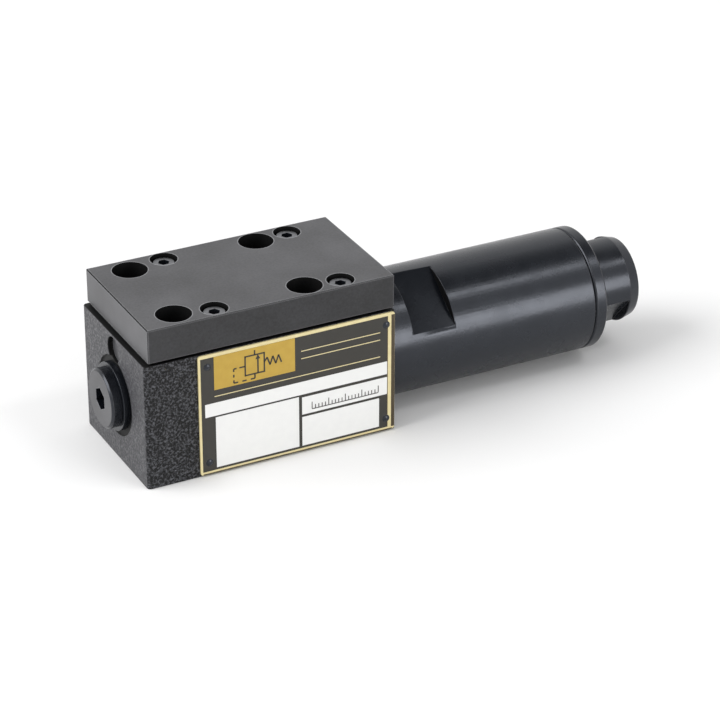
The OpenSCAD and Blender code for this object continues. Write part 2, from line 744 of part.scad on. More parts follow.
module nameplate() {
    l = nameplate_l;
    h = nameplate_h;
    r = nameplate_corner_r;
    color(plate_gold) difference() {
        translate([nameplate_x0, body_front_y, nameplate_z]) rotate([90, 0, 0]) linear_extrude(nameplate_t) {
            translate([r, 0]) square([l - 2 * r, h]);
            translate([0, r]) square([l, h - 2 * r]);
            for (x = [r, l - r], y = [r, h - r]) translate([x, y]) circle(r = r);
        }
        for (p = rivet_places)
            translate([p.x, nameplate_front_y - past, p.y]) rotate([-90, 0, 0])
                cylinder(h = nameplate_t + 2 * past, d = rivet_d + 2 * thread_gap);
    }
}

// Drive rivet with its head's underside at the origin and its shank along +Z
module drive_rivet() {
    dome_r = (rivet_head_d * rivet_head_d / 4 + rivet_head_h * rivet_head_h) / (2 * rivet_head_h);
    cylinder(h = nameplate_t + rivet_l, d = rivet_d);
    intersection() {
        translate([0, 0, dome_r - rivet_head_h]) sphere(r = dome_r);
        translate([0, 0, -rivet_head_h]) cylinder(h = rivet_head_h, d = rivet_head_d);
    }
}

module nameplate_rivets() {
    color(oxide_black) for (p = rivet_places)
        translate([p.x, nameplate_front_y, p.y]) rotate([-90, 0, 0]) drive_rivet();
}

valve_body();
cover_plate();
cover_screws();
cover_plate_seals();
port_seal_p();
port_seal_a();
port_seal_b();
port_seal_t();
end_plug();
end_plug_seal();
drilling_plug();
spool();
inner_spring_seat();
main_spring();
outer_spring_seat();
spring_housing();
housing_seal();
end_cover();
end_cover_seal();
adjusting_screw();
adjusting_screw_seal();
lock_nut();
protective_cap();
cap_seal();
nameplate();
nameplate_rivets();
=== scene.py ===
"""Looks of a hydraulic sandwich valve: cast body, cover plate, nameplate and turned spring housing."""

import json
import math

import bmesh
import bpy
from mathutils import Matrix, Vector

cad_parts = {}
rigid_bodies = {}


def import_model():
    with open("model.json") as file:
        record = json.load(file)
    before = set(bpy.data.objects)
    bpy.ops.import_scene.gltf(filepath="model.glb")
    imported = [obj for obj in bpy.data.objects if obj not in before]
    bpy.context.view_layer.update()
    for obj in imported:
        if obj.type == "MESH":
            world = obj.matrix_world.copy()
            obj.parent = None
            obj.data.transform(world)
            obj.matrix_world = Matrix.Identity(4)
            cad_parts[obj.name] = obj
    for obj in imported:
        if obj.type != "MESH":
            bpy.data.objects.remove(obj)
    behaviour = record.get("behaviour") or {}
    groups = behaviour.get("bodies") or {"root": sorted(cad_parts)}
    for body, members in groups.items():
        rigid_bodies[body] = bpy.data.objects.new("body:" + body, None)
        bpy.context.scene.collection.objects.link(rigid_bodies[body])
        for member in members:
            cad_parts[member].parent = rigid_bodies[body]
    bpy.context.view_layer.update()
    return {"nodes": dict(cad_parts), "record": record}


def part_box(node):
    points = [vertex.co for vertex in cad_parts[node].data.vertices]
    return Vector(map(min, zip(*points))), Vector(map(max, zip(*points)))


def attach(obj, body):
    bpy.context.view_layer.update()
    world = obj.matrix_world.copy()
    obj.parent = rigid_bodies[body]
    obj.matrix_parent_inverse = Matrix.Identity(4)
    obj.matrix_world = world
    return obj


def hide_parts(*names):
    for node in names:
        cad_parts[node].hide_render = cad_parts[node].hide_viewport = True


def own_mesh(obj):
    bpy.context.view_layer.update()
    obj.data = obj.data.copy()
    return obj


for leftover in list(bpy.data.objects):
    bpy.data.objects.remove(leftover)
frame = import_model()
nodes = frame["nodes"]
record = frame["record"]
scene = bpy.context.scene
MM = 0.001

# Where most of a noise pattern's values lie
MID_NOISE = {"From Min": 0.3, "From Max": 0.7}


# Colour, node and material helpers

def linear(hex_colour):
    """An sRGB colour such as "#3a3b3f" as linear red, green, blue and alpha."""
    channels = [int(hex_colour[i:i + 2], 16) / 255 for i in (1, 3, 5)]
    return [c / 12.92 if c <= 0.04045 else ((c + 0.055) / 1.055) ** 2.4 for c in channels] + [1]


def add(tree, kind, inputs=None, **settings):
    """Adds a node. settings are its properties; inputs are its sockets, each a value or another socket."""
    node = tree.nodes.new(kind)
    for name, value in settings.items():
        setattr(node, name, value)
    for name, value in (inputs or {}).items():
        if isinstance(value, bpy.types.NodeSocket):
            tree.links.new(value, node.inputs[name])
        else:
            node.inputs[name].default_value = value
    return node


def per_metre(size_mm):
    """The texture scale at which one feature is that wide."""
    return 1 / (size_mm * MM)


def start_material(name):
    """A new material with an empty node tree, and the coordinates of the piece in metres."""
    material = bpy.data.materials.new(name)
    material.use_nodes = True
    tree = material.node_tree
    tree.nodes.clear()
    place = add(tree, "ShaderNodeTexCoord").outputs["Object"]
    return material, tree, place


def finish_material(tree, shader):
    """Ends a material's tree with its shader."""
    add(tree, "ShaderNodeOutputMaterial", {"Surface": shader.outputs["BSDF"]})


def rubbed_edge(tree, reach_mm):
    """1 along corners, where handling has rubbed the finish, and 0 on open faces."""
    rounded = add(tree, "ShaderNodeBevel", {"Radius": reach_mm * MM}, samples=8)
    straight = add(tree, "ShaderNodeNewGeometry").outputs["Normal"]
    turned = add(tree, "ShaderNodeVectorMath",
                 {0: rounded.outputs["Normal"], 1: straight}, operation="DOT_PRODUCT")
    near = add(tree, "ShaderNodeMapRange",
               {"Value": turned.outputs["Value"], "From Min": 0.995, "From Max": 0.92})
    return near.outputs["Result"]


# Materials

def painted_iron(name, grain_mm, relief_mm, hollow_painted_shade, crest_wear_and_painted_glint, ior):
    """Iron under black paint: hollows darkened as painted shade, and crests paler, partly rubbed paint and
    partly painted glints, with a smoother gloss that catches glints of the lamps.
    """
    swell_mm, swell_relief_mm = 4.0, 0.25
    material, tree, place = start_material(name)
    grain = add(tree, "ShaderNodeTexNoise",
                {"Vector": place, "Scale": per_metre(grain_mm), "Detail": 1.0, "Roughness": 0.5,
                 "Distortion": 0.4})
    swell = add(tree, "ShaderNodeTexNoise", {"Vector": place, "Scale": per_metre(swell_mm), "Detail": 2.0})
    # The grain's low places get darker colour as painted shade, its high places paler colour, partly rubbed
    # paint and partly painted glints
    rubbed = add(tree, "ShaderNodeMapRange",
                 {"Value": grain.outputs["Fac"], "From Min": 0.44, "From Max": 0.78})
    colour = add(tree, "ShaderNodeMix",
                 {"Factor": rubbed.outputs["Result"], "A": linear(hollow_painted_shade), "B": linear(crest_wear_and_painted_glint)},
                 data_type="RGBA")
    gloss = add(tree, "ShaderNodeMapRange",
                {"Value": rubbed.outputs["Result"], "To Min": 0.55, "To Max": 0.32})
    swell_bump = add(tree, "ShaderNodeBump",
                     {"Height": swell.outputs["Fac"], "Strength": 0.5, "Distance": swell_relief_mm * MM})
    grain_bump = add(tree, "ShaderNodeBump",
                     {"Height": grain.outputs["Fac"], "Strength": 1.0, "Distance": relief_mm * MM,
                      "Normal": swell_bump.outputs["Normal"]})
    shader = add(tree, "ShaderNodeBsdfPrincipled",
                 {"Base Color": colour.outputs["Result"], "Roughness": gloss.outputs["Result"], "IOR": ior,
                  "Normal": grain_bump.outputs["Normal"]})
    finish_material(tree, shader)
    return material


def machined_cast_iron():
    """Bare milled and drilled iron under the paint's edge: grey satin metal with fine tool marks."""
    mark_mm, shade_mm = 0.4, 6.0
    material, tree, place = start_material("machined_cast_iron")
    marks = add(tree, "ShaderNodeTexNoise", {"Vector": place, "Scale": per_metre(mark_mm), "Detail": 2.0})
    shade = add(tree, "ShaderNodeTexNoise", {"Vector": place, "Scale": per_metre(shade_mm), "Detail": 3.0})
    colour = add(tree, "ShaderNodeMix",
                 {"Factor": shade.outputs["Fac"], "A": linear("#5e5e60"), "B": linear("#6c6c6d")},
                 data_type="RGBA")
    gloss = add(tree, "ShaderNodeMapRange",
                {"Value": marks.outputs["Fac"], **MID_NOISE, "To Min": 0.34, "To Max": 0.48})
    bump = add(tree, "ShaderNodeBump",
               {"Height": marks.outputs["Fac"], "Strength": 0.3, "Distance": 0.02 * MM})
    shader = add(tree, "ShaderNodeBsdfPrincipled",
                 {"Base Color": colour.outputs["Result"], "Metallic": 1.0,
                  "Roughness": gloss.outputs["Result"], "Normal": bump.outputs["Normal"]})
    finish_material(tree, shader)
    return material


def blackened_steel(name, deep, pale, rubbed):
    """Ground or milled steel with a grey-black finish: satin, finely mottled, rubbed pale at its edges."""
    # The tool lines are drawn coarser than real ones, so that they show
    line_mm, line_length_mm, speck_mm, shade_mm, edge_mm = 0.35, 9.0, 0.7, 18.0, 0.55
    material, tree, place = start_material(name)
    stretched = add(tree, "ShaderNodeMapping", {"Vector": place, "Scale": (line_mm / line_length_mm, 1, 1)})
    lines = add(tree, "ShaderNodeTexNoise",
                {"Vector": stretched.outputs["Vector"], "Scale": per_metre(line_mm), "Detail": 2.0})
    specks = add(tree, "ShaderNodeTexNoise", {"Vector": place, "Scale": per_metre(speck_mm), "Detail": 2.0})
    shade = add(tree, "ShaderNodeTexNoise", {"Vector": place, "Scale": per_metre(shade_mm), "Detail": 4.0})
    mottle = add(tree, "ShaderNodeMath",
                 {0: specks.outputs["Fac"], 1: shade.outputs["Fac"]}, operation="ADD")
    fleck = add(tree, "ShaderNodeMapRange",
                {"Value": mottle.outputs["Value"], "From Min": 0.7, "From Max": 1.3})
    colour = add(tree, "ShaderNodeMix",
                 {"Factor": fleck.outputs["Result"], "A": linear(deep), "B": linear(pale)},
                 data_type="RGBA")
    worn = add(tree, "ShaderNodeMix",
               {"Factor": rubbed_edge(tree, edge_mm), "A": colour.outputs["Result"], "B": linear(rubbed)},
               data_type="RGBA")
    gloss = add(tree, "ShaderNodeMapRange",
                {"Value": specks.outputs["Fac"], **MID_NOISE, "To Min": 0.34, "To Max": 0.46})
    line_bump = add(tree, "ShaderNodeBump",
                    {"Height": lines.outputs["Fac"], "Strength": 0.5, "Distance": 0.02 * MM})
    speck_bump = add(tree, "ShaderNodeBump",
                     {"Height": specks.outputs["Fac"], "Strength": 0.3, "Distance": 0.03 * MM,
                      "Normal": line_bump.outputs["Normal"]})
    shader = add(tree, "ShaderNodeBsdfPrincipled",
                 {"Base Color": worn.outputs["Result"], "Roughness": gloss.outputs["Result"], "IOR": 1.47,
                  "Normal": speck_bump.outputs["Normal"]})
    finish_material(tree, shader)
    return material


def black_oxide_steel(name, ior):
    """Steel with black oxide: deep satin blue-black, fine tool marks across the axis."""
    # The tool marks are drawn coarser than real ones, so that they show
    ring_mm, ring_stretch, speck_mm, shade_mm = 0.45, 0.01, 0.7, 9.0
    material, tree, place = start_material(name)
    along = add(tree, "ShaderNodeMapping", {"Vector": place, "Scale": (1, ring_stretch, ring_stretch)})
    rings = add(tree, "ShaderNodeTexNoise",
                {"Vector": along.outputs["Vector"], "Scale": per_metre(ring_mm), "Detail": 2.0})
    specks = add(tree, "ShaderNodeTexNoise", {"Vector": place, "Scale": per_metre(speck_mm), "Detail": 2.0})
    shade = add(tree, "ShaderNodeTexNoise", {"Vector": place, "Scale": per_metre(shade_mm), "Detail": 5.0})
    colour = add(tree, "ShaderNodeMix",
                 {"Factor": shade.outputs["Fac"], "A": linear("#0c0e12"), "B": linear("#15181d")},
                 data_type="RGBA")
    gloss = add(tree, "ShaderNodeMapRange",
                {"Value": shade.outputs["Fac"], **MID_NOISE, "To Min": 0.22, "To Max": 0.31})
    ring_bump = add(tree, "ShaderNodeBump",
                    {"Height": rings.outputs["Fac"], "Strength": 0.3, "Distance": 0.012 * MM})
    speck_bump = add(tree, "ShaderNodeBump",
                     {"Height": specks.outputs["Fac"], "Strength": 0.5, "Distance": 0.04 * MM,
                      "Normal": ring_bump.outputs["Normal"]})
    shader = add(tree, "ShaderNodeBsdfPrincipled",
                 {"Base Color": colour.outputs["Result"], "Roughness": gloss.outputs["Result"], "IOR": ior,
                  "Specular Tint": linear("#eef3ff"), "Normal": speck_bump.outputs["Normal"]})
    finish_material(tree, shader)
    return material


def near_black_painted_shade():
    """Near-black painted shade for drilled and counterbored holes, recesses and shoulders: almost no light
    comes back out of them.
    """
    mark_mm, mark_stretch = 0.5, 0.05
    material, tree, place = start_material("near_black_painted_shade")
    along = add(tree, "ShaderNodeMapping", {"Vector": place, "Scale": (mark_stretch, mark_stretch, 1)})
    marks = add(tree, "ShaderNodeTexNoise",
                {"Vector": along.outputs["Vector"], "Scale": per_metre(mark_mm), "Detail": 2.0})
    colour = add(tree, "ShaderNodeMix",
                 {"Factor": marks.outputs["Fac"], "A": linear("#050505"), "B": linear("#0d0d0e")},
                 data_type="RGBA")
    shader = add(tree, "ShaderNodeBsdfPrincipled",
                 {"Base Color": colour.outputs["Result"], "Roughness": 0.55, "IOR": 1.3})
    finish_material(tree, shader)
    return material


def rubbed_steel(name, dull, bright):
    """Places where keys and hands have rubbed the black off: steel that catches a fine line of light."""
    rub_mm = 1.2
    material, tree, place = start_material(name)
    rub = add(tree, "ShaderNodeTexNoise", {"Vector": place, "Scale": per_metre(rub_mm), "Detail": 4.0})
    colour = add(tree, "ShaderNodeMix",
                 {"Factor": rub.outputs["Fac"], "A": linear(dull), "B": linear(bright)},
                 data_type="RGBA")
    shader = add(tree, "ShaderNodeBsdfPrincipled",
                 {"Base Color": colour.outputs["Result"], "Metallic": 1.0, "Roughness": 0.32})
    finish_material(tree, shader)
    return material


def bright_steel():
    """Ground bright steel: clean metal with fine scratches."""
    # The scratches are drawn coarser than real ones, so that they show
    scratch_mm = 0.3
    material, tree, place = start_material("bright_steel")
    scratch = add(tree, "ShaderNodeTexNoise",
                  {"Vector": place, "Scale": per_metre(scratch_mm), "Detail": 3.0})
    gloss = add(tree, "ShaderNodeMapRange",
                {"Value": scratch.outputs["Fac"], **MID_NOISE, "To Min": 0.22, "To Max": 0.36})
    bump = add(tree, "ShaderNodeBump",
               {"Height": scratch.outputs["Fac"], "Strength": 0.2, "Distance": 0.01 * MM})
    shader = add(tree, "ShaderNodeBsdfPrincipled",
                 {"Base Color": linear("#b4b5b7"), "Metallic": 1.0, "Roughness": gloss.outputs["Result"],
                  "Normal": bump.outputs["Normal"]})
    finish_material(tree, shader)
    return material


def nitrile_rubber():
    """Moulded nitrile rubber: matt black with a faint bloom."""
    bloom_mm = 1.5
    material, tree, place = start_material("nitrile_rubber")
    bloom = add(tree, "ShaderNodeTexNoise", {"Vector": place, "Scale": per_metre(bloom_mm), "Detail": 3.0})
    colour = add(tree, "ShaderNodeMix",
                 {"Factor": bloom.outputs["Fac"], "A": linear("#161617"), "B": linear("#222223")},
                 data_type="RGBA")
    shader = add(tree, "ShaderNodeBsdfPrincipled",
                 {"Base Color": colour.outputs["Result"], "Roughness": 0.65, "IOR": 1.52})
    finish_material(tree, shader)
    return material


def printed_foil(name, pale, deep, roughness):
    """Ink on aluminium foil: an even film, a little mottled, with a soft gloss."""
    mottle_mm = 2.5
    material, tree, place = start_material(name)
    mottle = add(tree, "ShaderNodeTexNoise",
                 {"Vector": place, "Scale": per_metre(mottle_mm), "Detail": 4.0})
    colour = add(tree, "ShaderNodeMix",
                 {"Factor": mottle.outputs["Fac"], "A": linear(deep), "B": linear(pale)},
                 data_type="RGBA")
    shader = add(tree, "ShaderNodeBsdfPrincipled",
                 {"Base Color": colour.outputs["Result"], "Roughness": roughness, "IOR": 1.5})
    finish_material(tree, shader)
    return material


cast_paint = painted_iron("painted_cast_iron", grain_mm=0.65, relief_mm=1.0,
                          hollow_painted_shade="#0a0a0c", crest_wear_and_painted_glint="#5c5d62", ior=1.34)
# The plug's end face: finer, shallower grain, as milled, and paler colours that are painted light, for the
# face that the key lamp lights
milled_paint_and_painted_light = painted_iron("painted_milled_iron_and_painted_light", grain_mm=0.7, relief_mm=0.15,
                            hollow_painted_shade="#363639", crest_wear_and_painted_glint="#545458", ior=1.45)
cast_machined = machined_cast_iron()
plate_top = blackened_steel("ground_blackened_steel", deep="#343436", pale="#535356", rubbed="#929396")
# The plate's front and back sides: the same blackened steel with darker colours, as painted shade
plate_side_painted_shade = blackened_steel("blackened_steel_sides_painted_shade", deep="#151517", pale="#28282b", rubbed="#5a5a5d")
black_oxide = black_oxide_steel("turned_black_oxide_steel", ior=1.5)
milled_oxide = black_oxide_steel("milled_black_oxide_steel", ior=1.28)
# Near-black painted shade for holes, recesses, shoulders and the plate's top corner at the plug end
painted_shade_black = near_black_painted_shade()
rubbed_corner = rubbed_steel("rubbed_corner", dull="#26272a", bright="#55565a")
rubbed_head = rubbed_steel("rubbed_screw_head", dull="#67686b", bright="#8c8d90")
cream_foil = printed_foil("cream_foil", pale="#e0d5a8", deep="#d0bf8a", roughness=0.35)
brown_ink_and_painted_shade = printed_foil("brown_ink_and_painted_shade", pale="#43351a", deep="#332813", roughness=0.45)
gold_ink = printed_foil("gold_ink", pale="#bd9d3c", deep="#ab8a2d", roughness=0.4)
dark_ink = printed_foil("dark_ink", pale="#2b2822", deep="#24221d", roughness=0.5)
white_ink = printed_foil("white_ink", pale="#e6e6e4", deep="#dfdfde", roughness=0.45)

slot_finish = {
    "cast_body": cast_paint,
    "ground_plate": plate_top,
    "black_oxide_steel": black_oxide,
    "bright_steel": bright_steel(),
    "seal_rubber": nitrile_rubber(),
    "nameplate_foil": cream_foil,
}


# CAD pieces: the inner ones keep their mesh, the outer ones get a copy with finished corners

slot_of = {part["node"]: part["material_slot"] for part in record["subparts"]}
body_of = {name: body for body, names in record["behaviour"]["bodies"].items() for name in names}

for name, piece in nodes.items():
    piece.data.materials.clear()
    piece.data.materials.append(slot_finish[slot_of[name]])


def mesh_copy(name):
    """A copy of a CAD piece's mesh without doubled points or needless edges."""
    same_point_mm, flat_deg = 0.001, 0.4
    work = bmesh.new()
    work.from_mesh(nodes[name].data)
    bmesh.ops.remove_doubles(work, verts=work.verts, dist=same_point_mm * MM)
    bmesh.ops.dissolve_limit(work, angle_limit=math.radians(flat_deg), verts=work.verts, edges=work.edges)
    return work


def whole(work):
    """Everything in a mesh, for a cut right through it."""
    return list(work.verts) + list(work.edges) + list(work.faces)


def placed(name, work, finishes, body):
    """A shown piece made of a mesh, moving with a body."""
    data = bpy.data.meshes.new(name)
    work.to_mesh(data)
    work.free()
    if "custom_normal" in data.attributes:
        data.attributes.remove(data.attributes["custom_normal"])
    for finish in finishes:
        data.materials.append(finish)
    piece = bpy.data.objects.new(name, data)
    scene.collection.objects.link(piece)
    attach(piece, body)
    return piece


def finished(name, finishes, finish_of=None, corner_mm=0.15, corner_deg=35, rubbed=False, ring_cuts=()):
    """A copy of a CAD piece with its corners broken as the real tools leave them, or left sharp at 0.

    finish_of picks a finish for each face, the last finish is the corners' where they are rubbed, and
    ring_cuts are the places along X where the surface is divided, so that its shading stays even.
    """
    work = mesh_copy(name)
    for x in ring_cuts:
        bmesh.ops.bisect_plane(work, geom=whole(work), plane_co=(x, 0, 0), plane_no=(1, 0, 0))
    work.normal_update()
    for face in work.faces:
        face.smooth = True
        face.material_index = finishes.index(finish_of(face)) if finish_of else 0
    piece = placed(name + "_finished", work, finishes, body_of[name])
    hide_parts(name)
    if corner_mm:
        corners = piece.modifiers.new("broken_corners", "BEVEL")
        corners.width = corner_mm * MM
        corners.segments = 2
        corners.limit_method = "ANGLE"
        corners.angle_limit = math.radians(corner_deg)
        corners.use_clamp_overlap = False
        if rubbed:
            corners.material = len(finishes) - 1
        shading = piece.modifiers.new("shading", "WEIGHTED_NORMAL")
        shading.weight = 80
    else:
        piece.data.set_sharp_from_angle(angle=math.radians(corner_deg))


# How near a piece's box or outer radius a face has to lie to be on its outside
SKIN = 0.55 * MM

# How far a face's normal runs along an axis: out of a box, mostly along the axis, square to it
OUTWARDS, MOSTLY, SQUARE = 0.3, 0.5, 0.9

# The housing's wrench flats along X from the body, and the places beside them where its surface is divided
FLATS_FROM_MM, FLATS_TO_MM, BESIDE_MM = 8.7, 22.5, 0.5

body_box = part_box("valve_body")
cover_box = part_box("cover_plate")
housing_low, housing_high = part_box("spring_housing")
housing_radius = (housing_high.z - housing_low.z) / 2
housing_axis_z = (housing_high.z + housing_low.z) / 2
housing_face = body_box[1].x
flats_rings = (housing_face + (FLATS_FROM_MM - BESIDE_MM) * MM,
               housing_face + (FLATS_TO_MM + BESIDE_MM) * MM)


def on_outside(face, box):
    """True where a face lies close to its piece's box and looks out of it."""
    low, high = box
    centre = face.calc_center_median()
    for axis in range(3):
        near_low = centre[axis] - low[axis] < SKIN and face.normal[axis] < -OUTWARDS
        near_high = high[axis] - centre[axis] < SKIN and face.normal[axis] > OUTWARDS
        if near_low or near_high:
            return True
    return False


def on_shoulder(face):
    """True on faces square to the valve's length."""
    return abs(face.normal.x) > SQUARE


def body_finish(face):
    """Cast paint outside; milled paint at the plug's end, finer and paler, its paler tone painted light;
    bare iron under the valve; near-black painted shade in every hole and recess.
    """
    foot_mm = 0.1
    if face.normal.z < -SQUARE and face.calc_center_median().z < foot_mm * MM:
        return cast_machined
    if not on_outside(face, body_box):
        return painted_shade_black
    return milled_paint_and_painted_light if face.normal.x < -SQUARE else cast_paint


def cover_finish(face):
    """Ground top and ends, sides darker as painted shade, and near-black painted shade in holes and on the
    plug end's top corner.
    """
    on_top_corner = face.normal.x < -MOSTLY and face.normal.z > MOSTLY
    if on_top_corner or not on_outside(face, cover_box):
        return painted_shade_black
    return plate_side_painted_shade if abs(face.normal.y) > MOSTLY else plate_top


def screw_finish(face):
    """Rubbed steel on what faces up, black oxide elsewhere."""
    return rubbed_head if face.normal.z > SQUARE else black_oxide


def plug_finish(face):
    """Paler blackened steel on faces square to the plug's axis, as painted light on its lit end face, black
    oxide elsewhere.
    """
    return plate_top if on_shoulder(face) else black_oxide


def housing_finish(face):
    """Black oxide on the turned outside, duller on flats and in bores, near-black painted shade on the
    shoulders.
    """
    if on_shoulder(face):
        return painted_shade_black
    centre = face.calc_center_median()
    off_axis = math.hypot(centre.y, centre.z - housing_axis_z)
    return milled_oxide if off_axis < housing_radius - SKIN else black_oxide


finished("valve_body", [cast_paint, milled_paint_and_painted_light, cast_machined, painted_shade_black], body_finish, corner_mm=0.3)
finished("cover_plate", [plate_top, plate_side_painted_shade, painted_shade_black], cover_finish, corner_mm=0)
finished("cover_screws", [black_oxide, rubbed_head], screw_finish, corner_mm=0.1)
finished("end_plug", [black_oxide, plate_top, rubbed_corner], plug_finish, rubbed=True)
finished("end_plug_seal", [black_oxide])
finished("drilling_plug", [plate_top])
finished("spring_housing", [black_oxide, milled_oxide, painted_shade_black, rubbed_corner], housing_finish,
         rubbed=True, ring_cuts=flats_rings)
finished("end_cover", [black_oxide, rubbed_corner], rubbed=True)
finished("protective_cap", [black_oxide, rubbed_corner], rubbed=True, corner_deg=12)


# Main spring, in two halves cut near its middle, one toward each seat at its ends

# The cut lies a hair beside the middle, between the mesh's points, so that both halves close
BETWEEN_POINTS = Vector((0.05 * MM, 0, 0))
spring_low, spring_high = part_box("main_spring")
spring_middle = (spring_low + spring_high) / 2 + BETWEEN_POINTS


def spring_half(name, end_x):
    """The spring from its middle to one end, whose seat moves with a joint."""
    cut_edge_deg = 50
    outwards = math.copysign(1, end_x - spring_middle.x)
    work = mesh_copy("main_spring")
    bmesh.ops.bisect_plane(work, geom=whole(work), plane_co=spring_middle, plane_no=(outwards, 0, 0),
                           clear_inner=True)
    bmesh.ops.holes_fill(work, edges=[edge for edge in work.edges if edge.is_boundary])
    for face in work.faces:
        face.smooth = True
    piece = placed(name, work, [slot_finish[slot_of["main_spring"]]], "valve")
    piece.data.set_sharp_from_angle(angle=math.radians(cut_edge_deg))
    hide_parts("main_spring")
    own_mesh(piece)


spring_half("main_spring_inner_half", spring_low.x)
spring_half("main_spring_outer_half", spring_high.x)


# Nameplate print, as thin fields on the plate's front

INK_T = 0.05 * MM

# Layers of print, from the foil outwards
GROUND, FIELDS, LINES = 1, 2, 3

plate_low, plate_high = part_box("nameplate")


class Print:
    """Printed fields in mm from the plate's lower left corner; each layer lies on the one below."""

    def __init__(self, name, inks):
        self.name = name
        self.inks = inks
        self.mesh = bmesh.new()

    def field(self, ink, layer, left, right, bottom, top):
        """A printed rectangle."""
        self.shape(ink, layer, [(left, bottom), (right, bottom), (right, top), (left, top)])

    def stroke(self, ink, layer, start, end, width):
        """A printed straight line with square ends."""
        start, end = Vector(start), Vector(end)
        side = (end - start).normalized().orthogonal() * width / 2
        self.shape(ink, layer, [start + side, start - side, end - side, end + side])

    def shape(self, ink, layer, outline):
        """A printed outline, as thick as the ink."""
        y_front = plate_low.y - layer * INK_T
        corners = [(plate_low.x + x * MM, plate_low.z + z * MM) for x, z in outline]
        front = self.mesh.faces.new(self.mesh.verts.new((x, y_front, z)) for x, z in corners)
        grown = bmesh.ops.extrude_face_region(self.mesh, geom=[front])
        raised = [v for v in grown["geom"] if isinstance(v, bmesh.types.BMVert)]
        bmesh.ops.translate(self.mesh, verts=raised, vec=(0, INK_T, 0))
        for face in {f for v in raised for f in v.link_faces} | {front}:
            face.material_index = self.inks.index(ink)

    def finish(self):
        """All that was printed, as one piece."""
        bmesh.ops.recalc_face_normals(self.mesh, faces=self.mesh.faces)
        placed(self.name, self.mesh, self.inks, "valve")


def valve_symbol(label, middle_x, middle_z):
    """The plain diagram sign of a spring-loaded pressure valve: box, arrow, spring, dashed pilot line."""
    side, lead, pen = 6.0, 1.5, 0.45
    arrow_offset, arrow_half, arrow_l = 1.0, 0.75, 1.5
    coil, swing, coils = 0.9, 1.3, 6
    pilot_reach, dash, dashes = 3.6, 0.9, 3
    west, east = middle_x - side / 2, middle_x + side / 2
    south, north = middle_z - side / 2, middle_z + side / 2
    arrow_x, arrow_foot = middle_x + arrow_offset, north - arrow_l
    pilot_x, pilot_z = west - pilot_reach, south - lead
    lines = [((west, south), (east, south)),
             ((west, north), (east, north)),
             ((west, south - pen / 2), (west, north + pen / 2)),
             ((east, south - pen / 2), (east, north + pen / 2)),
             ((middle_x, south - lead), (middle_x, south)),
             ((middle_x, north), (middle_x, north + lead)),
             ((arrow_x, south), (arrow_x, arrow_foot))]
    knees = [(east, middle_z)]
    for i in range(1, coils + 1):
        knees.append((east + coil * i, middle_z + (swing if i % 2 else -swing)))
    lines += zip(knees, knees[1:])
    run = (middle_x - pilot_x) / (2 * dashes - 1)
    for i in range(dashes):
        lines.append(((pilot_x + 2 * i * run, pilot_z), (pilot_x + (2 * i + 1) * run, pilot_z)))
    rise = (middle_z - pilot_z) / (2 * dashes - 1)
    for i in range(dashes):
        lines.append(((pilot_x, pilot_z + 2 * i * rise), (pilot_x, pilot_z + (2 * i + 1) * rise)))
    lines.append(((pilot_x, middle_z), (pilot_x + dash, middle_z)))
    lines.append(((west - 2 * dash, middle_z), (west, middle_z)))
    for start, end in lines:
        label.stroke(dark_ink, LINES, start, end, pen)
    arrow_head = [(arrow_x - arrow_half, arrow_foot), (arrow_x + arrow_half, arrow_foot), (arrow_x, north)]
    label.shape(dark_ink, LINES, arrow_head)


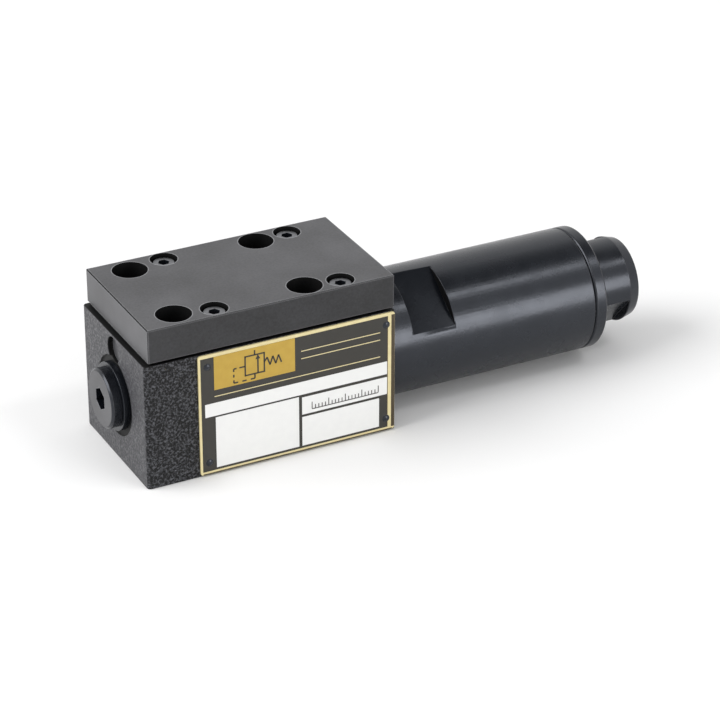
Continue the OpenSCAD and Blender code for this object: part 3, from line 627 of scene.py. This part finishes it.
def nameplate_print():
    """Dark field with a gold block, white boxes, thin rules and a row of ticks inside a cream border."""
    width = (plate_high.x - plate_low.x) / MM
    height = (plate_high.z - plate_low.z) / MM
    label = Print("nameplate_print", [dark_ink, brown_ink_and_painted_shade, gold_ink, white_ink, cream_foil])
    line = 0.25

    margin_left, margin_right, margin_bottom, margin_top = 0.7, 2.5, 0.95, 1.0
    left, right = margin_left, width - margin_right
    bottom, top = margin_bottom, height - margin_top
    label.field(dark_ink, GROUND, left, right, bottom, top)
    label.field(brown_ink_and_painted_shade, GROUND, right, right + line, bottom, top)

    corner, rim, painted_shade_band, foot_band = 0.8, 0.05, 1.05, 0.25
    # The wide brown band along the plate's right edge is painted shade where the plate's edge meets the
    # body, not print
    label.field(brown_ink_and_painted_shade, GROUND, width - rim - painted_shade_band, width - rim, corner, height - corner)
    label.field(brown_ink_and_painted_shade, GROUND, corner, width - corner, rim, rim + foot_band)

    gold_left, gold_right, gold_bottom = 4.8, 30.2, 26.9
    label.field(gold_ink, FIELDS, gold_left, gold_right, gold_bottom, top)
    valve_symbol(label, (gold_left + gold_right) / 2, (gold_bottom + top) / 2)

    rule_left, rule_right = 32.2, 57.6
    upper_z, middle_z, lower_z = 32.6, 30.2, 24.7
    for start, z in [(rule_left, upper_z), (rule_left, middle_z), (gold_left, lower_z)]:
        label.field(cream_foil, FIELDS, start, rule_right, z, z + line)

    strip_left, strip_bottom, strip_top = 1.8, 18.6, 22.8
    label.field(white_ink, FIELDS, strip_left, right, strip_bottom, strip_top)

    split, half_gap = 31.8, 0.5
    boxes_left, boxes_bottom, boxes_top = 5.0, 1.7, 18.05
    low_box_right, low_box_top = 57.3, 11.2
    scale_box_bottom, scale_box_top = 12.0, 17.65
    label.field(white_ink, FIELDS, boxes_left, split - half_gap, boxes_bottom, boxes_top)
    label.field(white_ink, FIELDS, split + half_gap, right, scale_box_bottom, scale_box_top)
    label.field(white_ink, FIELDS, split + half_gap, low_box_right, boxes_bottom, low_box_top)

    scale_left, scale_right, scale_z = 35.5, 57.0, 13.3
    ticks, long_every, short_tick, long_tick = 21, 5, 1.2, 2.2
    label.field(dark_ink, LINES, scale_left, scale_right, scale_z - line, scale_z)
    for i in range(ticks):
        x = scale_left + (scale_right - scale_left) * i / (ticks - 1)
        tick_h = short_tick if i % long_every else long_tick
        label.stroke(dark_ink, LINES, (x, scale_z), (x, scale_z + tick_h), line)
    label.finish()


nameplate_print()


# Floor, light and camera, in metres

def white_floor():
    """A wide white floor that keeps the soft shadow, a hair below the mounting face."""
    floor_size, gap = 6, 0.05 * MM
    bpy.ops.mesh.primitive_plane_add(size=floor_size, location=(0, 0, -gap))
    floor = bpy.context.object
    floor.name = "floor"
    material, tree, _ = start_material("white_floor")
    shader = add(tree, "ShaderNodeBsdfPrincipled", {"Base Color": linear("#f7f7f7"), "Roughness": 0.9})
    finish_material(tree, shader)
    floor.data.materials.append(material)


def studio_world():
    """White walls and a dark ceiling to the eye and in reflections, with a weaker even fill."""
    wall, ceiling, fill = 1.0, 0.12, 0.6
    wall_top, ceiling_edge = 0.74, 0.88
    world = bpy.data.worlds.new("white_studio")
    world.use_nodes = True
    tree = world.node_tree
    tree.nodes.clear()
    rays = add(tree, "ShaderNodeLightPath")
    direction = add(tree, "ShaderNodeTexCoord").outputs["Generated"]
    height = add(tree, "ShaderNodeSeparateXYZ", {"Vector": direction}).outputs["Z"]
    shade = add(tree, "ShaderNodeMapRange",
                {"Value": height, "From Min": wall_top, "From Max": ceiling_edge, "To Min": wall,
                 "To Max": ceiling})
    mirrored = add(tree, "ShaderNodeMath",
                   {0: rays.outputs["Is Glossy Ray"], 1: rays.outputs["Is Transmission Ray"]},
                   operation="MAXIMUM")
    seen = add(tree, "ShaderNodeMath",
               {0: rays.outputs["Is Camera Ray"], 1: mirrored.outputs["Value"]}, operation="MAXIMUM")
    strength = add(tree, "ShaderNodeMix",
                   {"Factor": seen.outputs["Value"], "A": fill, "B": shade.outputs["Result"]})
    sky = add(tree, "ShaderNodeBackground",
              {"Color": linear("#ffffff"), "Strength": strength.outputs["Result"]})
    add(tree, "ShaderNodeOutputWorld", {"Surface": sky.outputs["Background"]})
    scene.world = world


def soft_box(name, aim, direction, distance, size, radiance):
    """A rectangular soft light of an even brightness, turned to its aim with its width along the valve."""
    width, height = size
    lamp = bpy.data.lights.new(name, "AREA")
    lamp.shape = "RECTANGLE"
    lamp.size = width
    lamp.size_y = height
    lamp.energy = radiance * math.pi * width * height
    lamp_object = bpy.data.objects.new(name, lamp)
    away = Vector(direction).normalized()
    across = (Vector((1, 0, 0)) - away * away.x).normalized()
    lamp_object.location = Vector(aim) + away * distance
    lamp_object.rotation_euler = Matrix((across, away.cross(across), away)).transposed().to_euler()
    lamp_object.visible_camera = False
    scene.collection.objects.link(lamp_object)


def mirrored_in_tube(degrees):
    """The direction that the tube mirrors to the camera at an angle above the front."""
    sideways = 0.402
    upright = math.sqrt(1 - sideways ** 2)
    angle = math.radians(degrees)
    return (sideways, -upright * math.cos(angle), upright * math.sin(angle))


def photo_camera():
    """The photo's view: a long lens from the front left, looking down on the cover plate."""
    frame_px, focal_px, sensor_mm = 720, 2992, 36
    azimuth, elevation, distance = math.radians(-27.08), math.radians(28.09), 0.8945
    aim = Vector((0.04632, 0, 0.01228))
    back = Vector((math.sin(azimuth) * math.cos(elevation),
                   -math.cos(azimuth) * math.cos(elevation),
                   math.sin(elevation)))
    lens = bpy.data.cameras.new("photo_camera")
    lens.sensor_width = sensor_mm
    lens.lens = focal_px / frame_px * sensor_mm
    lens.clip_start = 0.01
    lens.clip_end = 20
    camera = bpy.data.objects.new("photo_camera", lens)
    camera.location = aim + back * distance
    camera.rotation_euler = (-back).to_track_quat("-Z", "Y").to_euler()
    scene.collection.objects.link(camera)
    scene.camera = camera


body_aim = (0.02, 0, 0.03)
tube_aim = (0.085, 0, 0.02)
white_floor()
studio_world()
soft_box("key_box", aim=body_aim, direction=(-0.8, 0.15, 0.58), distance=2.5, size=(2.0, 2.0), radiance=4.5)
soft_box("high_strip", aim=tube_aim, direction=mirrored_in_tube(degrees=67), distance=2.0,
         size=(0.75, 0.28), radiance=6.4)
soft_box("low_strip", aim=tube_aim, direction=mirrored_in_tube(degrees=13), distance=2.0,
         size=(0.75, 0.88), radiance=6.8)
photo_camera()
scene.view_settings.view_transform = "Standard"
